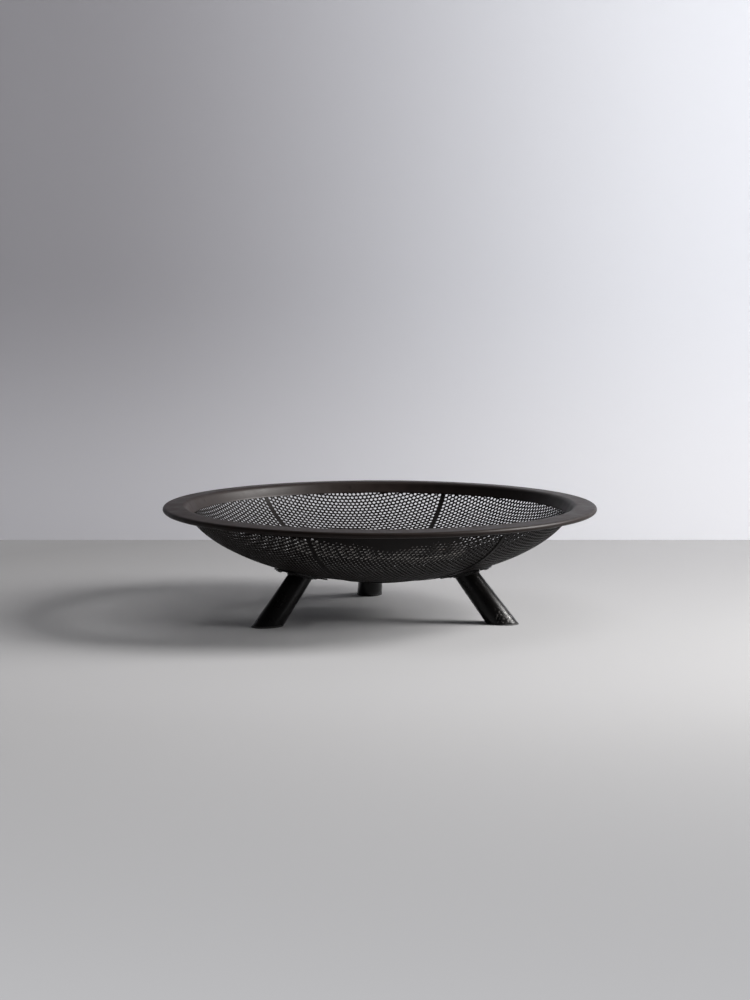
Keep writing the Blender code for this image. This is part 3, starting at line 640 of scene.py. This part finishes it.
def roundedPatch(low, high, width, corner, step=0.006):
    # outline of a patch with round corners, and the points inside it
    half = width / 2
    outline = []
    for x, y, start in ((high, half, 0.0), (low, half, 0.5), (low, -half, 1.0), (high, -half, 1.5)):
        centre = (x - math.copysign(corner, x - (low + high) / 2), y - math.copysign(corner, y))
        outline += arc(centre, corner, start * math.pi, math.pi / 2, 5)
    filled = []
    for k, point in enumerate(outline):
        after = outline[(k + 1) % len(outline)]
        runs = max(round(math.dist(point, after) / step), 1)
        filled += [(point[0] + (after[0] - point[0]) * j / runs, point[1] + (after[1] - point[1]) * j / runs)
                   for j in range(runs)]
    xs = np.arange(low + step, high - step / 2, step)
    ys = np.arange(-half + step, half - step / 2, step)
    inside = [(float(x), float(y)) for x in xs for y in ys]
    inside = [p for p in inside if not (abs(p[1]) > half - corner and
                                        min(p[0] - low, high - p[0]) < corner)]
    return filled, inside


strap = dict(width=0.008, sheet=0.0012, endGap=0.003, corner=0.003, step=0.0011, firstWeld=0.016,
             lastWeld=0.010, weldPitch=0.034, weldRadius=0.0018, weldDepth=0.0003)


def spotWelds(points):
    # shallow electrode marks down each side of the seam
    marks = np.zeros(len(points))
    first = lengthOf(hub["radius"]) + strap["firstWeld"]
    for x in np.arange(first, dishLength - band["width"] - strap["lastWeld"], strap["weldPitch"]):
        for y in (-strap["width"] / 4, strap["width"] / 4):
            share = np.hypot(points[:, 0] - x, points[:, 1] - y) / strap["weldRadius"]
            marks = np.maximum(marks, np.clip(1 - share ** 4, 0, 1))
    return marks * strap["weldDepth"]


strapLow = lengthOf(hub["radius"] + strap["endGap"])
strapHigh = dishLength - band["width"] - strap["endGap"]
strapOutline, strapInside = roundedPatch(strapLow, strapHigh, strap["width"], strap["corner"],
                                         strap["step"])
for number in range(1, dish["gores"] + 1):
    angle = dish["seamAngle"] + (number - 1) * goreAngle
    bent = punchedSheet(f"seamStrap{number}", strapOutline, [], strapInside, patchSpace(angle, spotWelds),
                        underDish - strap["sheet"], underDish)
    piece(f"seamStrap{number}", bent, finishes["mesh_paint"], "mesh_paint", f"seam_strap_{number}")

plateLow = plateLength - legPlate["length"] / 2
plateHigh = plateLength + legPlate["length"] / 2
plateOutline, plateInside = roundedPatch(plateLow, plateHigh, legPlate["width"], legPlate["corner"])
backingSeat = inwardOf("leg_backing_plate_1")
for number, angle in enumerate(legAngles, 1):
    for name, node, low in (("legSaddle", "leg_saddle", underDish - legPlate["sheet"]),
                            ("legBackingPlate", "leg_backing_plate", backingSeat)):
        plate = punchedSheet(f"{name}{number}", plateOutline, [], plateInside, patchSpace(angle),
                             low, low + legPlate["sheet"])
        made = piece(f"{name}{number}", plate, finishes["leg_paint"], "leg_paint", f"{node}_{number}")
        bevel = made.modifiers.new("easedEdge", "BEVEL")
        bevel.width = legPlate["edge"]
        bevel.segments = 2
        bevel.limit_method = "ANGLE"
        bevel.angle_limit = math.radians(60)
print("straps and plates made")


# Hub: two discs with a rolled bead near the edge

hubBead = dict(radius=0.074, rise=0.0012, width=0.0045, points=40, edge=0.0007, steps=144)


def hubOutline(low, high, way):
    stations = np.linspace(0.0, hub["radius"], hubBead["points"])
    rise = hubBead["rise"] * np.exp(-((stations - hubBead["radius"]) / hubBead["width"]) ** 2) * way
    under = [tuple(map(float, onDish(s, low + r))) for s, r in zip(stations, rise)]
    over = [tuple(map(float, onDish(s, high + r))) for s, r in zip(stations, rise)]
    edge = tuple(map(float, onDish(hub["radius"] + hubBead["edge"], (low + high) / 2)))
    return under + [edge] + over[::-1]


for name, node, low, way in (("hubPlateOuter", "hub_plate_outer", underDish - hub["sheet"], -1),
                             ("hubPlateInner", "hub_plate_inner", insideDish, 1)):
    disc = lathe(name, hubOutline(low, low + hub["sheet"], way), hubBead["steps"])
    piece(name, disc, finishes["mesh_paint"], "mesh_paint", node)
print("hub made")


# Legs: tubes with a weld bead at the top, and their foot caps

leg = dict(footCircle=0.265, tilt=math.radians(39.8), footRadius=0.0258, taper=0.030, wall=0.002, sides=72,
           edge=0.0005, capFlange=0.003, capSpigot=0.012, capEdge=0.0006)
legBead = dict(size=0.0026, fall=1.05, below=0.0006, ripples=64, ripple=0.10, wave=0.05, steps=360, sides=10)
scuff = dict(core=0.010, reach=0.038, outward=0.018, aside=-0.018, height=0.020)
saddleUnderside = underDish - legPlate["sheet"]


def legSide(turn, wall):
    # a point of the tube's side at the floor, and the way it runs from there
    axis = Vector((-math.sin(leg["tilt"]), 0.0, math.cos(leg["tilt"])))
    outward = Vector((math.cos(leg["tilt"]), 0.0, math.sin(leg["tilt"])))
    side = math.cos(turn) * outward + math.sin(turn) * Vector((0.0, 1.0, 0.0))
    start = Vector((leg["footCircle"], 0.0, 0.0)) + (leg["footRadius"] - wall) * side
    return start, axis - leg["taper"] * side


def levelRing(height, wall=0.0):
    ring = []
    for k in range(leg["sides"]):
        start, along = legSide(2 * math.pi * k / leg["sides"], wall)
        ring.append(start + along * (height - start.z) / along.z)
    return ring


def dishRing(inward, wall=0.0):
    # where the leg's side meets a surface that follows the dish
    radii, heights = onDish(stationTable, inward)
    ring = []
    for k in range(leg["sides"]):
        start, along = legSide(2 * math.pi * k / leg["sides"], wall)
        low, high = 0.0, leg["footCircle"] / math.sin(leg["tilt"])
        for _ in range(40):
            point = start + along * (low + high) / 2
            if point.z < np.interp(math.hypot(point.x, point.y), radii, heights):
                low = (low + high) / 2
            else:
                high = (low + high) / 2
        ring.append(point)
    return ring


def between(ring, other, share):
    return [a.lerp(b, share) for a, b in zip(ring, other)]


def tubeMesh():
    foot = leg["capFlange"] + dish["gap"]
    top = dishRing(saddleUnderside - dish["gap"])
    topInside = dishRing(saddleUnderside - dish["gap"], leg["wall"])
    low = levelRing(foot + leg["edge"])
    rings = [levelRing(foot, leg["edge"]), low] + [between(low, top, k / 10) for k in range(1, 10)]
    rings += [top, topInside, levelRing(foot, leg["wall"])]
    return meshFrom("legTube", *loft(rings))


def beadMesh():
    # weld bead in overlapping ripples round the top of the tube
    path = dishRing(saddleUnderside - legBead["below"])
    count = legBead["steps"]
    corners = [2 * math.pi * j / legBead["sides"] for j in range(legBead["sides"])]
    rings = []
    for k in range(count):
        share = k / count * len(path)
        here = path[int(share)].lerp(path[(int(share) + 1) % len(path)], share % 1)
        turn = 2 * math.pi * k / count
        start, along = legSide(turn, 0.0)
        outward = (start - Vector((leg["footCircle"], 0.0, 0.0))).normalized()
        down = -along.normalized()
        ripple = (k / count * legBead["ripples"]) % 1
        wave = legBead["wave"] * math.sin(7 * turn)
        size = legBead["size"] * (1 + legBead["ripple"] * (ripple - 0.5) + wave)
        rings.append([here + outward * size * math.cos(t) + down * size * legBead["fall"] * math.sin(t)
                      for t in corners])
    return meshFrom("legWeld", *loft(rings), math.radians(60))


def capMesh():
    # a flange that the tube stands on, and a spigot inside it
    inside = leg["wall"] + dish["gap"]
    reach = leg["footRadius"] * math.tan(leg["tilt"]) + leg["capFlange"] / math.cos(leg["tilt"])
    reach += leg["capSpigot"]
    end = []
    for k in range(leg["sides"]):
        start, along = legSide(2 * math.pi * k / leg["sides"], inside)
        end.append(start + along * reach)
    flange, edge = leg["capFlange"], leg["capEdge"]
    rings = [levelRing(0.0, edge), levelRing(edge), levelRing(flange - edge), levelRing(flange, edge),
             levelRing(flange, inside), end]
    return meshFrom("footCap", *loft(rings, closed=False, capped=True))


tube, bead, cap = tubeMesh(), beadMesh(), capMesh()
for number, angle in enumerate(legAngles, 1):
    turned = Matrix.Rotation(angle, 4, "Z")
    paint = finishes["leg_paint"]
    if number == 3:
        # the front right leg is chipped on the outer side of its foot
        place = (leg["footCircle"] + scuff["outward"], scuff["aside"], scuff["height"])
        paint = heatPaint("chippedLegPaint", **legLook, chips=dict(scuff, place=place))
    piece(f"legTube{number}", tube.copy(), paint, "leg_paint", f"leg_tube_{number}", frameAt=turned)
    piece(f"legWeld{number}", bead, finishes["leg_paint"], "leg_paint", frameAt=turned)
    piece(f"footCap{number}", cap, finishes["foot_cap"], "foot_cap", f"foot_cap_{number}", frameAt=turned)
print("legs made")


# Bolts, nuts and rivets

bolt = dict(radius=0.003, hubRadius=0.004, headRadius=0.0068, headHeight=0.0024, headEdge=0.0003,
            endBeyond=0.002, threadPitch=0.0010, threadDepth=0.45, sides=32)
nut = dict(flats=0.010, height=0.0062, flangeRadius=0.0071, flangeSheet=0.0014, flangeRise=0.0002,
           flangeEdge=0.0003, cornerChamfer=0.0007, boreChamfer=0.0004, sides=48)
rivet = dict(radius=0.002, headRadius=0.0038, headHeight=0.0018, flushHeight=0.0005, sides=28)


def dome(radius, height, seat, way, edge=0.0003, steps=8):
    # outline of a domed head, from its crown to its seat; way is 1 up or -1 down
    crown = height - edge
    ball = (radius * radius + crown * crown) / (2 * crown)
    turns = [math.asin(radius / ball) * k / steps for k in range(steps + 1)]
    crowned = [(ball * math.sin(t), seat + way * (height - ball * (1 - math.cos(t)))) for t in turns]
    return crowned + [(radius, seat)]


def boltMesh(name, headSeat, nutSeat, scale=1.0):
    # head under the dish, thread up through the nut
    radius = bolt["radius"] * scale
    end = nutSeat + (nut["height"] + bolt["endBeyond"]) * scale
    outline = dome(bolt["headRadius"] * scale, bolt["headHeight"] * scale, headSeat, -1, bolt["headEdge"])
    outline += [(radius, headSeat), (radius, nutSeat)]
    pitch = bolt["threadPitch"] * scale
    z = nutSeat
    while z + pitch < end - pitch / 2:
        outline += [(radius - pitch * bolt["threadDepth"], z + pitch / 2), (radius, z + pitch)]
        z += pitch
    outline += [(radius - pitch / 2, end), (0.0, end)]
    return lathe(name, outline, bolt["sides"])


def nutMesh(name, seat, scale=1.0):
    # hexagon on a round flange, with chamfered corners and bore
    bore = bolt["radius"] * scale + dish["gap"]
    flat = nut["flats"] / 2 * scale
    top = seat + nut["height"] * scale
    flangeTop = seat + nut["flangeSheet"] * scale
    flange = nut["flangeRadius"] * scale
    chamfer, edge = nut["boreChamfer"], nut["flangeEdge"]

    def hexagon(turn):
        return flat / math.cos((turn + math.pi / 6) % (math.pi / 3) - math.pi / 6)

    rings = []
    turns = [2 * math.pi * k / nut["sides"] for k in range(nut["sides"])]
    for reach, height in ((lambda t: bore, top - chamfer), (lambda t: bore + chamfer, top),
                          (lambda t: min(hexagon(t), flat * 1.02), top),
                          (hexagon, top - nut["cornerChamfer"] * scale),
                          (hexagon, flangeTop + nut["flangeRise"]),
                          (lambda t: flange - edge, flangeTop), (lambda t: flange, flangeTop - edge),
                          (lambda t: flange, seat), (lambda t: bore, seat)):
        rings.append([(reach(t) * math.cos(t), reach(t) * math.sin(t), height) for t in turns])
    return meshFrom(name, *loft(rings), math.radians(28))


headSeat = saddleUnderside - dish["gap"]
nutSeat = backingSeat + legPlate["sheet"] + dish["gap"]
legBolt, legNut = boltMesh("legBolt", headSeat, nutSeat), nutMesh("legNut", nutSeat)
for number in (1, 2, 3):
    for place in (1, 2, 3):
        seat = seatOf(f"leg_bolt_{number}_{place}")
        piece(f"legBolt{number}_{place}", legBolt, finishes["fasteners"], "fasteners",
              f"leg_bolt_{number}_{place}", frameAt=seat)
        piece(f"legNut{number}_{place}", legNut, finishes["fasteners"], "fasteners",
              f"leg_nut_{number}_{place}", frameAt=seat)

hubScale = bolt["hubRadius"] / bolt["radius"]
hubSeat = dishFrame(0.0, 0.0)
hubHeadSeat = underDish - hub["sheet"] - dish["gap"]
hubNutSeat = insideDish + hub["sheet"] + dish["gap"]
piece("hubBolt", boltMesh("hubBolt", hubHeadSeat, hubNutSeat, hubScale),
      finishes["fasteners"], "fasteners", "hub_bolt", frameAt=hubSeat)
piece("hubNut", nutMesh("hubNut", hubNutSeat, hubScale),
      finishes["fasteners"], "fasteners", "hub_nut", frameAt=hubSeat)

rivetLow = underDish - band["sheet"] - dish["gap"]
rivetHigh = insideDish + rim["sheet"] + dish["gap"]
rivetOutline = dome(rivet["headRadius"], rivet["headHeight"], rivetLow, -1)
rivetOutline += [(rivet["radius"], rivetLow), (rivet["radius"], rivetHigh - dish["gap"])]
rivetOutline += dome(rivet["headRadius"], rivet["flushHeight"], rivetHigh - dish["gap"], 1)[::-1]
rivetMesh = lathe("collarRivet", rivetOutline, rivet["sides"])
for number in range(1, dish["gores"] + 1):
    piece(f"collarRivet{number}", rivetMesh, finishes["rim_paint"], "rim_paint", f"collar_rivet_{number}",
          frameAt=seatOf(f"collar_rivet_{number}"))
print("fasteners made")


# Grate: one casting, its parts merged by a remesh and eased like sand-cast iron

grate = dict(ringWidth=0.012, ringHeight=0.011, ringSteps=128, spacing=0.037, barTop=0.010, barFoot=0.007,
             barHeight=0.012, proud=0.001, crossDrop=0.003, legTop=0.0059, legFoot=0.0056, legSides=24,
             voxel=0.0013, easing=3, easeShare=0.5)


def barInto(bm, start, end, top):
    along = (end - start).normalized()
    side = Vector((-along.y, along.x, 0.0))
    ends = []
    for point in (start, end):
        ends.append([bm.verts.new(point + side * x + Vector((0, 0, z))) for x, z in (
            (grate["barFoot"] / 2, top - grate["barHeight"]), (grate["barTop"] / 2, top),
            (-grate["barTop"] / 2, top), (-grate["barFoot"] / 2, top - grate["barHeight"]))])
    for k in range(4):
        bm.faces.new((ends[0][k - 1], ends[0][k], ends[1][k], ends[1][k - 1]))
    bm.faces.new(ends[0])
    bm.faces.new(ends[1])


def makeGrate():
    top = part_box("fire_grate")[1].z
    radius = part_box("fire_grate")[1].x
    middle = radius - grate["ringWidth"] / 2
    ringTop = top - grate["proud"]
    ringFoot = ringTop - grate["ringHeight"]
    inner = radius - grate["ringWidth"]
    ringOutline = [(inner, ringFoot), (radius, ringFoot), (radius, ringTop), (inner, ringTop)]
    mesh = lathe("fireGrate", ringOutline, grate["ringSteps"])
    bm = bmesh.new()
    bm.from_mesh(mesh)
    count = int(middle / grate["spacing"])
    for k in range(-count, count + 1):
        y = k * grate["spacing"]
        half = math.sqrt(middle * middle - y * y)
        barInto(bm, Vector((-half, y, 0)), Vector((half, y, 0)), top)
    barInto(bm, Vector((0, -middle, 0)), Vector((0, middle, 0)), top - grate["crossDrop"])
    seat = dish["sheet"]           # the feet stand on the gores
    sides = grate["legSides"]
    for number in range(3):
        angle = legAngles[0] + math.pi / 3 + number * 2 * math.pi / 3
        centre = Vector((middle * math.cos(angle), middle * math.sin(angle)))
        rings = []
        for reach, height in ((grate["legFoot"], None), (grate["legTop"], (ringTop + ringFoot) / 2)):
            ring = []
            for t in (2 * math.pi * k / sides for k in range(sides)):
                point = centre + reach * Vector((math.cos(t), math.sin(t)))
                z = height
                if z is None:
                    z = float(np.interp(point.length, *onDish(stationTable, seat)))
                ring.append(bm.verts.new((point.x, point.y, z)))
            rings.append(ring)
        for k in range(sides):
            bm.faces.new((rings[0][k - 1], rings[0][k], rings[1][k], rings[1][k - 1]))
        bm.faces.new(rings[0])
        bm.faces.new(rings[1])
    bmesh.ops.recalc_face_normals(bm, faces=bm.faces)
    bm.to_mesh(mesh)
    bm.free()
    casting = piece("fireGrate", mesh, finishes["grate_iron"], "grate_iron", "fire_grate", body="grate")
    merge = casting.modifiers.new("merge", "REMESH")
    merge.mode = "VOXEL"
    merge.voxel_size = grate["voxel"]
    merge.use_smooth_shade = True
    ease = casting.modifiers.new("ease", "SMOOTH")
    ease.factor = grate["easeShare"]
    ease.iterations = grate["easing"]


makeGrate()
print("grate made")


# Stage: pale floor and backdrop that show from their front only, soft light and the camera

# painted light and shade: the corner colours of floor and backdrop are paler to the right, towards the key
# lamp
stage = dict(
    # painted shade: the far colours darken the floor towards the back and the backdrop towards its top
    floor=dict(left=(0.402, 0.400, 0.408), right=(0.412, 0.411, 0.417), farLeft=(0.230, 0.228, 0.231),
               farRight=(0.268, 0.267, 0.272), axis=1, span=(-1.0, 1.1), lit=(1.2, 3.0)),
    wall=dict(left=(0.70, 0.70, 0.745), right=(0.90, 0.91, 0.955), farLeft=(0.435, 0.43, 0.465),
              farRight=(0.82, 0.84, 0.90), axis=2, span=(0.05, 0.65), lit=(3.0, 5.0)),
    reach=0.75, floorWidth=60.0, wallPlace=1.107, wallWidth=3.0, wallHeight=1.8,
    patchScale=1.2, patchShare=0.01, roughness=0.85, gloss=0.15, farGlow=(0.53, 0.53, 0.545))


def stageFinish(name, look):
    # corner colours that paint light and shade, faint patches, and a plain emitted glow beyond the lamps
    pale = Finish(name)

    def share(axis, low, high):
        place = pale.add("ShaderNodeSeparateXYZ", {}, {0: pale.place}, output=axis)
        return pale.add("ShaderNodeMapRange", {"interpolation_type": "SMOOTHSTEP"},
                        {"Value": place, "From Min": low, "From Max": high})

    across = share(0, -stage["reach"], stage["reach"])
    patches = pale.noise(stage["patchScale"], 2.0)
    across = across + pale.spread(patches, 0.3, 0.7, -stage["patchShare"], stage["patchShare"])
    # painted light: paler to the right, where the key lamp stands
    near = pale.blend(across, rgba(look["left"]), rgba(look["right"]))
    far = pale.blend(across, rgba(look["farLeft"]), rgba(look["farRight"]))
    # painted shade: darker towards the back of the floor and the top of the backdrop
    shade = pale.blend(share(look["axis"], *look["span"]), near, far)
    pale.set(Base_Color=shade, Roughness=stage["roughness"], Specular_IOR_Level=stage["gloss"])
    behind = pale.add("ShaderNodeNewGeometry", output="Backfacing")
    clear = pale.add("ShaderNodeBsdfTransparent")
    front = Socket(pale, pale.shader.outputs[0])
    # painted light: far off, camera, glossy and transmission rays see a plain emitted glow, not the lit
    # surface
    seen = pale.add("ShaderNodeLightPath", output="Is Camera Ray")
    for rays in ("Is Glossy Ray", "Is Transmission Ray"):
        seen = seen + pale.add("ShaderNodeLightPath", output=rays)
    glowing = seen * pale.spread(pale.reach((0.0, 0.0, 0.0)), *look["lit"])
    glow = pale.add("ShaderNodeEmission", {}, {"Color": rgba(stage["farGlow"])})
    front = pale.add("ShaderNodeMixShader", {}, {0: glowing, 1: front, 2: glow})
    mixed = pale.add("ShaderNodeMixShader", {}, {0: behind, 1: front, 2: clear})
    pale.plug(pale.tree.nodes["Material Output"].inputs["Surface"], mixed)
    return pale.material


def stagePlane(name, corners, material):
    mesh = bpy.data.meshes.new(name)
    mesh.from_pydata(corners, [], [(0, 1, 2, 3)])
    made = bpy.data.objects.new(name, mesh)
    made.data.materials.append(material)
    bpy.context.scene.collection.objects.link(made)


wide = stage["floorWidth"] / 2
stagePlane("floor", [(-wide, -wide, 0), (wide, -wide, 0), (wide, wide, 0), (-wide, wide, 0)],
           stageFinish("paleFloor", stage["floor"]))
half, wallY, wallTop = stage["wallWidth"] / 2, stage["wallPlace"], stage["wallHeight"]
stagePlane("backdrop", [(-half, wallY, 0), (half, wallY, 0), (half, wallY, wallTop), (-half, wallY, wallTop)],
           stageFinish("paleBackdrop", stage["wall"]))

lamps = dict(
    key=dict(place=(4.6, 0.0, 2.75), size=2.6, watts=276, spread=110, tint=(1.0, 0.985, 0.97)),
    top=dict(place=(0.5, 0.3, 3.4), size=2.6, watts=24, spread=180, tint=(1.0, 1.0, 1.0)),
    streak=dict(place=(0.70, -2.41, 2.39), size=0.4, watts=3, spread=180, tint=(1.0, 0.99, 0.98)))
lampAim = Vector((0, 0.2, 0.15))
for name, lamp in lamps.items():
    light = bpy.data.lights.new(name, "AREA")
    light.shape = "SQUARE"
    light.size = lamp["size"]
    light.energy = lamp["watts"]
    light.spread = math.radians(lamp["spread"])
    light.color = lamp["tint"]
    made = bpy.data.objects.new(name, light)
    made.location = lamp["place"]
    made.rotation_euler = (lampAim - made.location).to_track_quat("-Z", "Y").to_euler()
    bpy.context.scene.collection.objects.link(made)

surround = dict(tint=(0.60, 0.61, 0.64), strength=0.12)
world = bpy.data.worlds.new("studio")
bpy.context.scene.world = world
world.use_nodes = True
background = world.node_tree.nodes["Background"]
background.inputs["Color"].default_value = rgba(surround["tint"])
background.inputs["Strength"].default_value = surround["strength"]

lens = dict(focalPixels=3024.6, sensor=36.0, longSide=1000, distance=6.0, elevation=math.radians(6.93),
            target=Vector((-0.0094, 0.0, 0.2293)))
cameraData = bpy.data.cameras.new("camera")
cameraData.sensor_width = lens["sensor"]
cameraData.lens = lens["focalPixels"] * lens["sensor"] / lens["longSide"]
camera = bpy.data.objects.new("camera", cameraData)
back = Vector((0.0, -math.cos(lens["elevation"]), math.sin(lens["elevation"])))
camera.location = lens["target"] + back * lens["distance"]
camera.rotation_euler = (-back).to_track_quat("-Z", "Y").to_euler()
bpy.context.scene.collection.objects.link(camera)
bpy.context.scene.camera = camera
bpy.context.scene.view_settings.view_transform = "Standard"
print("stage, lamps and camera made")
